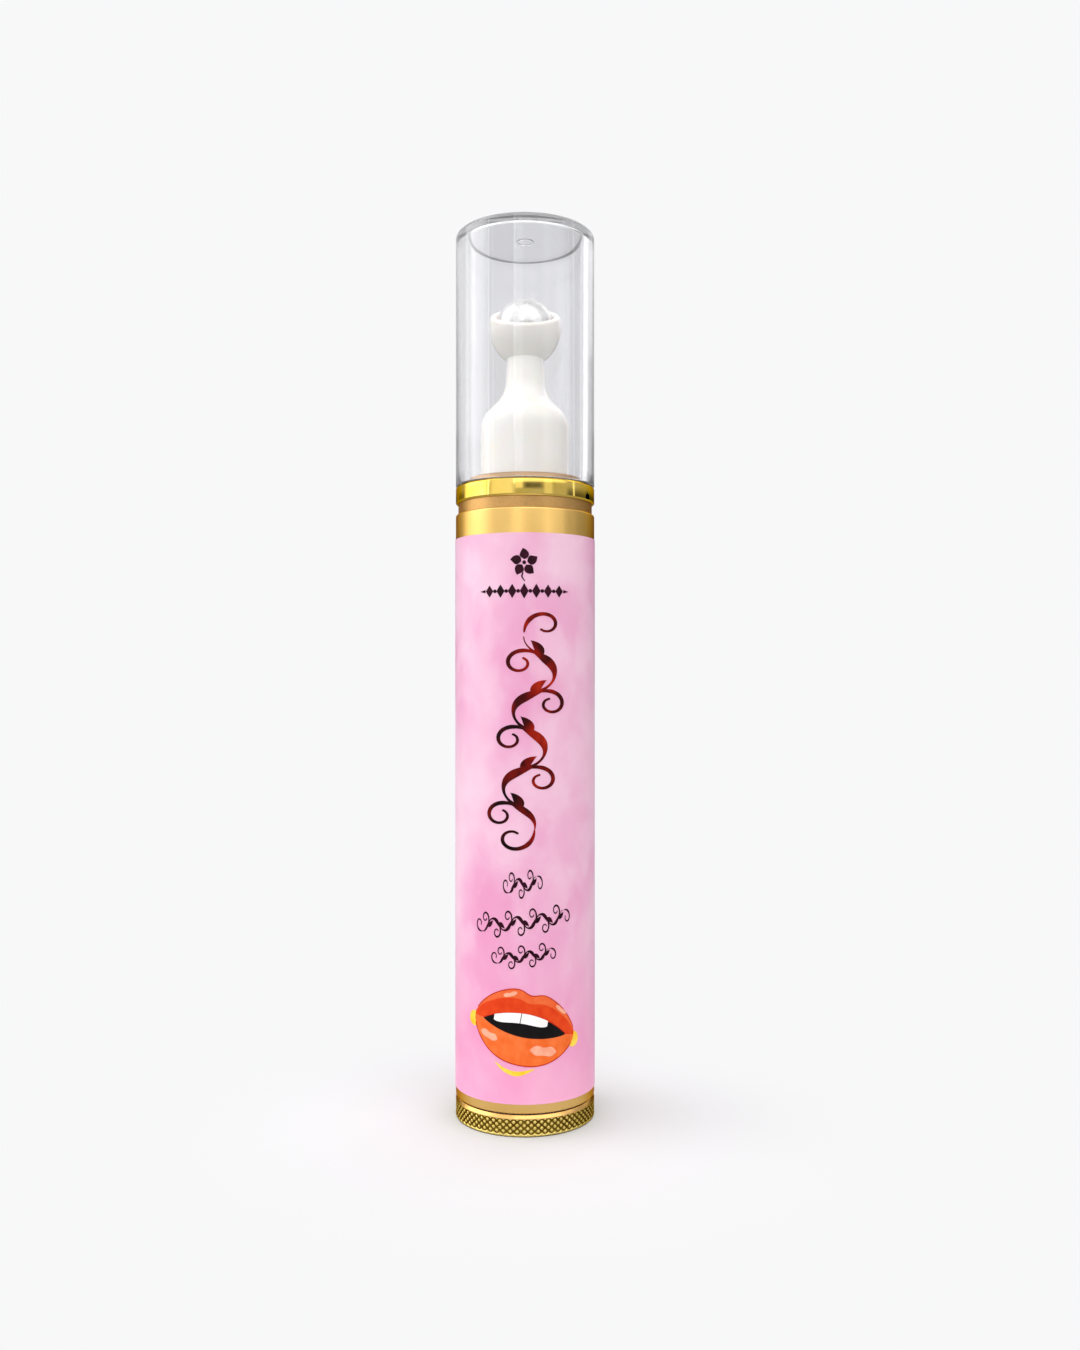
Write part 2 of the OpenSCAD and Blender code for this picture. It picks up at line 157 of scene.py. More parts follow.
class Finish:
    """A material with one Principled shader, and short calls for the nodes that feed it."""

    def __init__(self, name, colour, **sockets):
        self.material = bpy.data.materials.new(name)
        self.material.use_nodes = True
        self.tree = self.material.node_tree
        self.shader = self.tree.nodes["Principled BSDF"]
        self.shader.inputs["Base Color"].default_value = rgb(colour)
        for socket, value in sockets.items():
            self.shader.inputs[socket.replace("_", " ")].default_value = value
        self.place = self.add("ShaderNodeTexCoord").outputs["Object"]

    def add(self, kind, links=None, **settings):
        """A node with its settings, its plain inputs and its links."""
        node = self.tree.nodes.new(kind)
        for key, value in settings.items():
            if hasattr(node, key):
                setattr(node, key, value)
            else:
                node.inputs[key].default_value = value
        for socket, source in (links or {}).items():
            self.tree.links.new(source, node.inputs[socket])
        return node

    def feed(self, socket, source):
        self.tree.links.new(source, self.shader.inputs[socket])

    def noise(self, size, detail=3, stretch=(1, 1, 1), distortion=0, rough=0.5):
        """Noise whose features are about size metres, drawn out by stretch along each axis."""
        scale = [1 / (size * s) for s in stretch]
        spread = self.add("ShaderNodeMapping", {"Vector": self.place})
        spread.inputs["Scale"].default_value = scale
        node = self.add("ShaderNodeTexNoise", {"Vector": spread.outputs["Vector"]}, Scale=1.0,
                        Detail=detail, Distortion=distortion, Roughness=rough)
        return node.outputs["Fac"]

    def ramp(self, factor, stops, mode="LINEAR"):
        """Colours along a factor: stops are (place, #colour or number)."""
        node = self.add("ShaderNodeValToRGB", {"Fac": factor})
        band = node.color_ramp
        band.interpolation = mode
        while len(band.elements) < len(stops):
            band.elements.new(0.5)
        for element, (place, value) in zip(band.elements, stops):
            element.position = place
            element.color = rgb(value) if isinstance(value, str) else [value] * 3 + [1]
        return node.outputs["Color"]

    def mix(self, factor, a, b, blend="MIX"):
        node = self.add("ShaderNodeMix", data_type="RGBA", blend_type=blend)
        for socket, value in zip((0, 6, 7), (factor, a, b)):
            if isinstance(value, (int, float, list, tuple)):
                node.inputs[socket].default_value = value
            else:
                self.tree.links.new(value, node.inputs[socket])
        return node.outputs[2]

    def math(self, operation, *values, clamp=False):
        node = self.add("ShaderNodeMath", operation=operation, use_clamp=clamp)
        for socket, value in zip(node.inputs, values):
            if isinstance(value, (int, float)):
                socket.default_value = value
            else:
                self.tree.links.new(value, socket)
        return node.outputs[0]

    def band(self, value, low, high, to_low=0.0, to_high=1.0):
        """A value mapped smoothly from low..high to to_low..to_high."""
        node = self.add("ShaderNodeMapRange", {"Value": value}, interpolation_type="SMOOTHSTEP")
        for socket, number in zip(("From Min", "From Max", "To Min", "To Max"),
                                  (low, high, to_low, to_high)):
            node.inputs[socket].default_value = number
        return node.outputs["Result"]

    def axis(self, name):
        return self.add("ShaderNodeSeparateXYZ", {"Vector": self.place}).outputs[name]

    def radius(self):
        """Distance from the tube's axis."""
        flat = self.add("ShaderNodeVectorMath", {0: self.place}, operation="MULTIPLY")
        flat.inputs[1].default_value = (1, 1, 0)
        return self.add("ShaderNodeVectorMath", {0: flat.outputs["Vector"]},
                        operation="LENGTH").outputs["Value"]

    def bump(self, *layers):
        """Normal from (height, depth in metres) layers, one on top of the other."""
        normal = None
        for height, depth in layers:
            node = self.add("ShaderNodeBump", {"Height": height}, Distance=depth, Strength=1.0)
            if normal:
                self.tree.links.new(normal, node.inputs["Normal"])
            normal = node.outputs["Normal"]
        self.feed("Normal", normal)

    def vary(self, socket, factor, low, high):
        """A number on the shader that follows a factor."""
        self.feed(socket, self.band(factor, 0.3, 0.7, low, high))


def satin_gold():
    look = Finish("satin_gold", "#DAB368", Metallic=1.0, Roughness=0.3,
                  Specular_Tint=rgb("#C08A4A"))
    cloud = look.noise(9 * MM, 3)
    look.feed("Base Color", look.ramp(cloud, [(0.3, "#D6AE62"), (0.7, "#DEB870")]))
    look.vary("Roughness", look.noise(1.6 * MM, 4, (1, 1, 6)), 0.27, 0.33)
    look.bump((look.noise(1.5 * MM, 2, (1, 1, 8)), 0.002 * MM))
    return look.material


def polished_gold():
    look = Finish("polished_gold", "#EDCA62", Metallic=1.0, Roughness=0.07, Specular_Tint=rgb("#D2A860"))
    smudge = look.noise(3 * MM, 4, distortion=0.6)
    look.feed("Base Color", look.ramp(smudge, [(0.35, "#E8C456"), (0.65, "#F1D06E")]))
    look.vary("Roughness", smudge, 0.045, 0.1)
    look.bump((look.noise(2.5 * MM, 2), 0.002 * MM))
    return look.material


def knurled_gold():
    """Olive gold with painted shade in the knurl's valleys and a painted highlight on its bumps, and bright
    on the polished bevel.
    """
    look = Finish("knurled_gold", "#B9963C", Metallic=1.0, Roughness=0.24, Specular_Tint=rgb("#A07830"))
    # Painted shade and highlight: the colour darkens with depth into the knurl's valleys and brightens on
    # its bumps.
    painted_knurl_light_and_shade = look.band(look.radius(), KNOB_R - 0.14 * MM, KNOB_R - 0.01 * MM)
    tone = look.ramp(painted_knurl_light_and_shade, [(0.0, "#4E3A0C"), (0.45, "#93762A"), (1.0, "#E6D080")])
    cloud = look.noise(1.4 * MM, 3)
    tone = look.mix(look.band(cloud, 0.35, 0.65, 0.0, 0.3), tone, rgb("#94802F"))
    bevel = look.band(look.axis("Z"), KNOB_TOP - 0.56 * MM, KNOB_TOP - 0.5 * MM)
    look.feed("Base Color", look.mix(bevel, tone, rgb("#DDAE68")))
    look.vary("Roughness", look.noise(0.3 * MM, 3), 0.18, 0.3)
    look.bump((look.noise(0.08 * MM, 2), 0.001 * MM))
    return look.material


def gold_plastic():
    look = Finish("gold_plastic", "#C2965A", Metallic=0.85, Roughness=0.33, Specular_Tint=rgb("#B07C40"))
    speck = look.noise(0.12 * MM, 2)
    look.feed("Base Color", look.ramp(speck, [(0.35, "#BB8E50"), (0.65, "#CBA168")]))
    look.vary("Roughness", look.noise(1.1 * MM, 3), 0.28, 0.38)
    look.bump((speck, 0.0006 * MM))
    return look.material


def ivory_plastic():
    look = Finish("ivory_plastic", "#FCF7E8", Roughness=0.2, Subsurface_Weight=0.25,
                  Subsurface_Scale=1.2 * MM, Coat_Weight=0.35, Coat_Roughness=0.06)
    cloud = look.noise(5 * MM, 3)
    look.feed("Base Color", look.ramp(cloud, [(0.3, "#FBF5E4"), (0.7, "#FFFBF0")]))
    look.vary("Roughness", look.noise(1.5 * MM, 4), 0.14, 0.27)
    look.bump((look.noise(2.2 * MM, 2), 0.006 * MM), (look.noise(0.1 * MM, 2), 0.0006 * MM))
    return look.material


def ball_steel():
    look = Finish("ball_steel", "#E2E1DD", Metallic=1.0, Roughness=0.27)
    cloud = look.noise(1.8 * MM, 4, distortion=0.8)
    look.feed("Base Color", look.ramp(cloud, [(0.3, "#DEDDD8"), (0.7, "#E9E8E4")]))
    look.vary("Roughness", cloud, 0.23, 0.32)
    look.bump((look.noise(0.6 * MM, 3, (1, 0.1, 1)), 0.0008 * MM))
    return look.material


def clear_plastic():
    """Clear cap plastic with a faint haze. Lamp and bounce light pass straight to what it covers."""
    look = Finish("clear_plastic", "#F1F1F3", Roughness=0.02, Transmission_Weight=0.94, IOR=1.49)
    flow = look.noise(6 * MM, 2, (1, 1, 5))
    look.vary("Roughness", look.noise(1.2 * MM, 4, (1, 1, 3)), 0.0, 0.03)
    look.bump((flow, 0.006 * MM))
    light = look.add("ShaderNodeLightPath")
    bounce = look.math("MAXIMUM", light.outputs["Is Shadow Ray"], light.outputs["Is Diffuse Ray"])
    through = look.add("ShaderNodeBsdfTransparent")
    through.inputs["Color"].default_value = rgb("#FBFBFD")
    blend = look.add("ShaderNodeMixShader", {0: bounce, 1: look.shader.outputs[0],
                                             2: through.outputs[0]})
    look.tree.links.new(blend.outputs[0], look.tree.nodes["Material Output"].inputs["Surface"])
    return look.material


def label_print():
    """Mottled pink watercolour under a clear laminate, stronger towards the foot."""
    look = Finish("label_print", "#F0A9CB", Roughness=0.4, Specular_IOR_Level=0.35, Coat_Weight=0.15,
                  Coat_Roughness=0.2)
    wash = look.noise(15 * MM, 3, (1, 1, 1.5), distortion=0.25)
    bloom = look.noise(5.5 * MM, 3, (1, 1, 1.2), distortion=0.3)
    tone = look.ramp(wash, [(0.32, "#EC9CC4"), (0.46, "#F0AECF"), (0.58, "#F5C4DB"),
                            (0.72, "#F9D5E6")])
    tone = look.mix(look.band(bloom, 0.42, 0.68, 0.0, 0.4), tone, rgb("#FBD8E8"))
    height = look.band(look.axis("Z"), LABEL_Z, LABEL_Z + 26 * MM, 0.6, 0.0)
    look.feed("Base Color", look.mix(height, tone, rgb("#E988B6")))
    look.vary("Roughness", look.noise(2.5 * MM, 3), 0.3, 0.42)
    look.bump((look.noise(0.35 * MM, 4), 0.001 * MM), (look.noise(9 * MM, 2), 0.012 * MM))
    return look.material


def plum_ink():
    look = Finish("plum_ink", "#2A0416", Roughness=0.42, Specular_IOR_Level=0.12)
    look.feed("Base Color", look.ramp(look.noise(1.1 * MM, 3), [(0.3, "#1C020C"), (0.7, "#3A0820")]))
    look.bump((look.noise(0.2 * MM, 3), 0.001 * MM))
    return look.material


def red_foil():
    """Dark red foil whose tone drifts between near black and bright red."""
    look = Finish("red_foil", "#6A0E0A", Metallic=0.3, Roughness=0.36, Specular_IOR_Level=0.15)
    drift = look.noise(4.2 * MM, 2, (1, 1, 1.3), distortion=0.4)
    look.feed("Base Color", look.ramp(drift, [(0.36, "#180103"), (0.47, "#4A0606"), (0.57, "#8E1408"),
                                              (0.68, "#B82A10")]))
    look.vary("Roughness", look.noise(0.6 * MM, 3), 0.3, 0.42)
    look.bump((look.noise(0.15 * MM, 2), 0.0008 * MM))
    return look.material


def ink(name, dark, light, size=1.4):
    """Flat printed ink with a slight drift of tone."""
    look = Finish(name, dark, Roughness=0.42, Specular_IOR_Level=0.15)
    look.feed("Base Color", look.ramp(look.noise(size * MM, 3), [(0.35, dark), (0.65, light)]))
    look.bump((look.noise(0.25 * MM, 3), 0.001 * MM))
    return look.material


def moulded(name, dark, light, rough, soft=0.15, **sockets):
    """Moulded plastic or rubber: faint flow marks, a fine skin and a little light inside."""
    look = Finish(name, light, Roughness=rough, Subsurface_Weight=soft, Subsurface_Scale=0.8 * MM,
                  **sockets)
    look.feed("Base Color", look.ramp(look.noise(3 * MM, 3, (1, 1, 2)), [(0.3, dark), (0.7, light)]))
    look.vary("Roughness", look.noise(0.8 * MM, 3), rough - 0.06, rough + 0.08)
    look.bump((look.noise(0.12 * MM, 2), 0.0015 * MM))
    return look.material


def spring_steel():
    look = Finish("spring_steel", "#A6A9AD", Metallic=1.0, Roughness=0.3)
    look.feed("Base Color", look.ramp(look.noise(0.8 * MM, 3), [(0.3, "#989CA1"), (0.7, "#B6B9BD")]))
    look.vary("Roughness", look.noise(0.4 * MM, 3), 0.24, 0.38)
    look.bump((look.noise(0.2 * MM, 2, (4, 1, 1)), 0.0015 * MM))
    return look.material


FINISHES = {
    "satin_gold": satin_gold(),
    "polished_gold": polished_gold(),
    "knurled_gold": knurled_gold(),
    "gold_plastic": gold_plastic(),
    "label_print": label_print(),
    "ivory_plastic": ivory_plastic(),
    "natural_plastic": moulded("natural_plastic", "#E4E2D8", "#F2F1EA", 0.42, 0.3),
    "acetal": moulded("acetal", "#E6E4DC", "#F3F1EA", 0.32),
    "amber_plastic": moulded("amber_plastic", "#D9B871", "#ECD49A", 0.35, 0.3),
    "silicone": moulded("silicone", "#C8D6DE", "#DCE6EC", 0.4, 0.4),
    "seal_rubber": moulded("seal_rubber", "#141415", "#222224", 0.5, 0.0),
    "spring_steel": spring_steel(),
    "ball_steel": ball_steel(),
    "clear_plastic": clear_plastic(),
}


def dress_cad_nodes():
    """Every carried CAD node takes the finish of its own slot in the record."""
    for row in frame["record"]["subparts"]:
        slot = NODES[row["node"]].material_slots[0]
        slot.link = "OBJECT"
        slot.material = FINISHES[row["material_slot"]]


def settle(piece, body, slot, *replaced):
    """Rides a new piece on its body and hides the CAD nodes that it stands for. slot is not used."""
    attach(piece, body)
    if replaced:
        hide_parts(*replaced)


# ---------------------------------------------------------------- metal pieces

def make_shell():
    """Gold body shell: rolled top edge over the shoulder, softened edges."""
    inner = TUBE_R - SHELL_WALL
    rolled = inner - 0.65 * MM
    outline = softened([
        (inner, SHELL_Z, 0.1 * MM), (TUBE_R, SHELL_Z, 0.3 * MM), (TUBE_R, SHELL_TOP, 0.3 * MM),
        (rolled, SHELL_TOP, 0.15 * MM), (rolled, SHELL_TOP - SHELL_WALL, 0),
        (inner, SHELL_TOP - SHELL_WALL, 0.1 * MM)])
    settle(lathe("shell_drawn", outline, FINISHES["satin_gold"], sharp=60),
           "tube", "satin_gold", "outer_shell")


def make_collar():
    """Polished collar with a bright bevel above and below."""
    inner = COLLAR_R - CAP_WALL - 0.05 * MM
    bevel = 0.22 * MM
    outline = softened([
        (inner, COLLAR_Z, 0), (COLLAR_R - bevel, COLLAR_Z, 0.05 * MM),
        (COLLAR_R, COLLAR_Z + bevel, 0.05 * MM), (COLLAR_R, COLLAR_TOP - bevel, 0.05 * MM),
        (COLLAR_R - bevel, COLLAR_TOP, 0.05 * MM), (inner, COLLAR_TOP, 0.08 * MM)])
    settle(lathe("collar_polished", outline, FINISHES["polished_gold"], 384, sharp=60),
           "tube", "polished_gold", "collar_ring")


def make_knob():
    """Knob sleeve: a drawn cup with a bevelled rim and a staggered row knurl pressed in its wall."""
    columns, rows = 128, 5
    depth = 0.17 * MM
    low, high = KNOB_Z + 0.28 * MM, KNOB_TOP - 0.52 * MM
    wall = 0.45 * MM
    floor = 0.5 * MM
    row_height = (high - low) / rows

    def knurl(angle, radius, z):
        if not (low < z < high and radius > KNOB_R - 0.01 * MM):
            return 0
        column = angle / TAU * columns
        row = (z - low) / row_height
        lattice = abs(math.sin(math.pi * (column + row) / 2) * math.sin(math.pi * (column - row) / 2))
        fade = min(1, (z - low) / (0.12 * MM), (high - z) / (0.12 * MM))
        return -depth * fade * (1 - lattice ** 0.8)

    steps = 36
    band = [(KNOB_R, low + (high - low) * i / steps) for i in range(steps + 1)]
    foot = arc(KNOB_R - 0.26 * MM, KNOB_Z + 0.26 * MM, 0.26 * MM, -90, 0, 5)
    rim = softened([(KNOB_R, high + 0.06 * MM, 0.04 * MM), (KNOB_R - 0.3 * MM, KNOB_TOP, 0.12 * MM),
                    (KNOB_R - wall, KNOB_TOP, 0.03 * MM), (KNOB_R - wall, floor, 0)])
    outline = [(0, KNOB_Z)] + foot + band + rim[3:] + [(0, floor)]
    settle(lathe("knob_knurled", outline, FINISHES["knurled_gold"], columns * 7, knurl, sharp=50),
           "knob", "knurled_gold", "knob_sleeve")


# ---------------------------------------------------------------- cap

def make_cap():
    """Thick clear cap, open below, with a small gate ring under its ceiling."""
    inner = CAP_R - CAP_WALL
    roof = CAP_TOP - CAP_CEILING
    outer_round, inner_round = 0.7 * MM, 0.6 * MM
    gate, gate_wall, gate_depth = 1.1 * MM, 0.16 * MM, 0.14 * MM
    gate_ring = [(gate - gate_wall, roof), (gate - gate_wall * 0.6, roof - gate_depth),
                 (gate + gate_wall * 0.6, roof - gate_depth), (gate + gate_wall, roof)]
    foot = softened([(inner, CAP_Z, 0.1 * MM), (CAP_R, CAP_Z, 0.15 * MM),
                     (CAP_R, CAP_Z + 2 * MM, 0), (inner, CAP_Z + 2 * MM, 0)])
    outline = (
        foot[:-1] + arc(CAP_R - outer_round, CAP_TOP - outer_round, outer_round, 0, 90, 14)
        + [(0, CAP_TOP), (0, roof)] + gate_ring
        + arc(inner - inner_round, roof - inner_round, inner_round, 90, 0, 10))
    settle(lathe("cap_clear", outline, FINISHES["clear_plastic"], 320, sharp=60),
           "cap", "clear_plastic", "clear_cap")


# ---------------------------------------------------------------- label and its art

def wrap(s, z, lift):
    """A point of the label's face: s runs to the right from the front line, lift is off the paper."""
    angle = s / LABEL_R
    return ((LABEL_R + lift) * math.sin(angle), -(LABEL_R + lift) * math.cos(angle), z)


def make_label():
    """Wrap label: a thin closed sheet round the shell, with a lapped seam at the back."""
    glue, paper, lap = 0.012 * MM, 0.065 * MM, 2 * MM
    columns, rows = 240, 40
    half = math.pi * LABEL_R
    verts = []
    for layer in (glue, glue + paper):
        for j in range(rows + 1):
            z = LABEL_Z + (LABEL_TOP - LABEL_Z) * j / rows
            for i in range(columns + 1):
                s = -half + (2 * half + lap) * i / columns
                over = max(0, min(1, (s - half + 1.2 * MM) / (1.2 * MM)))
                verts.append(wrap(s, z, TUBE_R - LABEL_R + layer + over * (paper + 0.006 * MM)))
    width, sheet = columns + 1, (columns + 1) * (rows + 1)

    def at(i, j, layer):
        return layer * sheet + j * width + i

    faces = []
    for layer in (0, 1):
        for j in range(rows):
            for i in range(columns):
                faces.append((at(i, j, layer), at(i + 1, j, layer), at(i + 1, j + 1, layer),
                              at(i, j + 1, layer)))
    for i in range(columns):
        for j in (0, rows):
            faces.append((at(i, j, 0), at(i + 1, j, 0), at(i + 1, j, 1), at(i, j, 1)))
    for j in range(rows):
        for i in (0, columns):
            faces.append((at(i, j, 0), at(i, j + 1, 0), at(i, j + 1, 1), at(i, j, 1)))
    settle(add_mesh("label_wrap", verts, faces, FINISHES["label_print"], 50),
           "tube", "label_print", "label")


def printed(name, grids, material, layer=0):
    """Raised ink: each grid of (s, z) points in millimetres becomes a thin closed patch on the label."""
    verts, faces = [], []
    foot = -0.004 * MM + layer * 0.012 * MM
    top = 0.016 * MM + layer * 0.012 * MM
    for grid in grids:
        rows, columns = len(grid), len(grid[0])
        start = len(verts)
        for lift in (foot, top):
            for row in grid:
                verts += [wrap(s * MM, z * MM, lift) for s, z in row]

        def at(j, i, side):
            return start + side * rows * columns + j * columns + i

        for side in (0, 1):
            for j in range(rows - 1):
                for i in range(columns - 1):
                    faces.append((at(j, i, side), at(j, i + 1, side), at(j + 1, i + 1, side),
                                  at(j + 1, i, side)))
        for j in range(rows - 1):
            for i in (0, columns - 1):
                faces.append((at(j, i, 0), at(j + 1, i, 0), at(j + 1, i, 1), at(j, i, 1)))
        for i in range(columns - 1):
            for j in (0, rows - 1):
                faces.append((at(j, i, 0), at(j, i + 1, 0), at(j, i + 1, 1), at(j, i, 1)))
    settle(add_mesh(name, verts, faces, material, 50), "tube", "label_print")


def spline(points, steps=12):
    """Catmull-Rom curve through points of any dimension."""
    path = []
    last = len(points) - 1
    for i in range(last):
        p0, p1, p2, p3 = (Vector(points[k]) for k in (max(i - 1, 0), i, i + 1, min(i + 2, last)))
        for k in range(steps):
            t = k / steps
            path.append(0.5 * (2 * p1 + (p2 - p0) * t + (2 * p0 - 5 * p1 + 4 * p2 - p3) * t ** 2
                               + (3 * p1 - p0 - 3 * p2 + p3) * t ** 3))
    path.append(Vector(points[last]))
    return path


def stroke(points, steps=12):
    """Grid of a brush stroke along (s, z, width) points."""
    path = spline(points, steps)
    grid = []
    for i, here in enumerate(path):
        ahead = path[min(i + 1, len(path) - 1)] - path[max(i - 1, 0)]
        side = Vector((-ahead.y, ahead.x)).normalized() * max(here.z, 0.05) / 2
        centre = here.xy
        grid.append([tuple(centre - side), tuple(centre), tuple(centre + side)])
    return grid


def leaf(s, z, angle, length, width, bend=0.0):
    """Grid of a pointed leaf from its foot at (s, z)."""
    points = []
    for i in range(9):
        t = i / 8
        swell = math.sin(math.pi * t ** 0.8) ** 0.9 if 0 < t < 1 else 0
        turn = math.radians(angle + bend * t)
        points.append((s + length * t * math.cos(turn), z + length * t * math.sin(turn), width * swell))
    return stroke(points, 3)


def between(lower, upper, a0, a1, steps=40, across=6):
    """Grid between two curves of a, from a0 to a1."""
    grid = []
    for i in range(steps + 1):
        a = a0 + (a1 - a0) * i / steps
        low, high = lower(a), upper(a)
        grid.append([(low[0] + (high[0] - low[0]) * k / across, low[1] + (high[1] - low[1]) * k / across)
                     for k in range(across + 1)])
    return grid


def disc(s, z, radius):
    """Grid of a small round dot."""
    return between(lambda a: (s - radius * math.cos(a), z - radius * math.sin(a)),
                   lambda a: (s - radius * math.cos(a), z + radius * math.sin(a)),
                   0.05, math.pi - 0.05, 12, 2)


def make_emblem(material):
    """Five-petalled blossom over a short sprig."""
    s, z = 0.0, 76.6
    petals = []
    for k in range(5):
        a = 90 + 72 * k
        foot = math.radians(a)
        petals.append(leaf(s + 0.42 * math.cos(foot), z + 0.42 * math.sin(foot), a - 8, 1.5, 1.25, 16))
    petals.append(disc(s, z, 0.26))
    petals.append(stroke([(s - 0.15, z - 1.3, 0.16), (s - 0.3, z - 1.9, 0.2), (s + 0.1, z - 2.5, 0.1)]))
    printed("emblem_blossom", petals, material)


def make_ornament(material):
    """Band of lozenges and dots between tapering rules, where a name would stand."""
    z = 72.8
    grids = []
    for k in range(-3, 4):
        s = 1.62 * k
        tall, wide = 1.05 - 0.08 * abs(k), 0.58
        grids.append(between(lambda a: (s + a, z - tall * (1 - abs(a) / wide)),
                             lambda a: (s + a, z + tall * (1 - abs(a) / wide)),
                             -wide * 0.98, wide * 0.98, 8, 4))
        if k < 3:
            grids.append(disc(s + 0.81, z, 0.25))
    for side in (-1, 1):
        grids.append(stroke([(side * 5.5, z, 0.5), (side * 5.85, z, 0.26), (side * 6.3, z, 0.05)]))
    printed("ornament_band", grids, material)


def tendril(s, z, heading, turn, length, width):
    """Points of a curl: it starts along heading and turns ever more tightly, by turn degrees in all."""
    points = []
    steps = 16
    for i in range(steps + 1):
        t = i / steps
        points.append((s, z, width * (1 - 0.55 * t) * min(1, 0.25 + 3 * t)))
        angle = math.radians(heading + turn * (0.35 * t + 0.65 * t * t))
        s += length / steps * math.cos(angle)
        z += length / steps * math.sin(angle)
    return points


def scroll(heading, length, swing, waves, thin, thick, curl, leaf_length):
    """Grids of a running scroll: a waving stem with a curl and a leaf at each wave."""
    steps = round(waves * 24)
    s = z = 0.0
    stem, grids = [], []
    for i in range(steps + 1):
        t = i / steps
        phase = TAU * waves * t
        angle = heading + swing * math.sin(phase)
        width = thin + (thick - thin) * (0.5 - 0.5 * math.cos(2 * phase + 0.9)) ** 1.3
        stem.append((s, z, width * min(1, 0.3 + 6 * t, 0.3 + 6 * (1 - t))))
        if i % 12 == 6:
            side = 1 if math.sin(phase) > 0 else -1
            grids.append(stroke(tendril(s, z, angle, side * 400, curl, (thin + thick) / 2.2), 3))
            grids.append(leaf(s, z, angle - side * 48, leaf_length, leaf_length * 0.42, side * 24))
        s += length / steps * math.cos(math.radians(angle))
        z += length / steps * math.sin(math.radians(angle))
    grids.append(stroke(stem, 3))
    grids.append(stroke(tendril(s, z, angle, -330, curl * 0.9, thick * 0.6), 3))
    grids.append(stroke(tendril(0, 0, heading + 180, -330, curl * 0.9, thick * 0.6), 3))
    return grids


def placed(grids, left, right, low, high):
    """The grids moved and scaled to fill a box of the label."""
    points = [p for grid in grids for row in grid for p in row]
    s0, s1 = min(p[0] for p in points), max(p[0] for p in points)
    z0, z1 = min(p[1] for p in points), max(p[1] for p in points)
    return [[[(left + (p[0] - s0) / (s1 - s0) * (right - left),
               low + (p[1] - z0) / (z1 - z0) * (high - low)) for p in row] for row in grid]
            for grid in grids]


def make_vine(material):
    """Tall calligraphic vine up the front, with no letters in it."""
    grids = scroll(84, 36, 58, 2.5, 0.3, 1.15, 9.5, 2.6)
    printed("vine_flourish", placed(grids, -5.2, 5.6, 38.2, 70.0), material)


def make_garlands(material):
    """Three short scrolls, one above the other."""
    rows = ((9, 1.5, -2.9, 2.5, 31.8, 35.7), (22, 3.5, -7.0, 6.6, 26.5, 30.9),
            (14, 2.5, -4.6, 4.4, 22.4, 25.9))  # length, waves, then the box left, right, low, high
    grids = []
    for length, waves, left, right, low, high in rows:
        grids += placed(scroll(4, length, 52, waves, 0.19, 0.58, 4.4, 1.5), left, right, low, high)
    printed("garland_rules", grids, material)


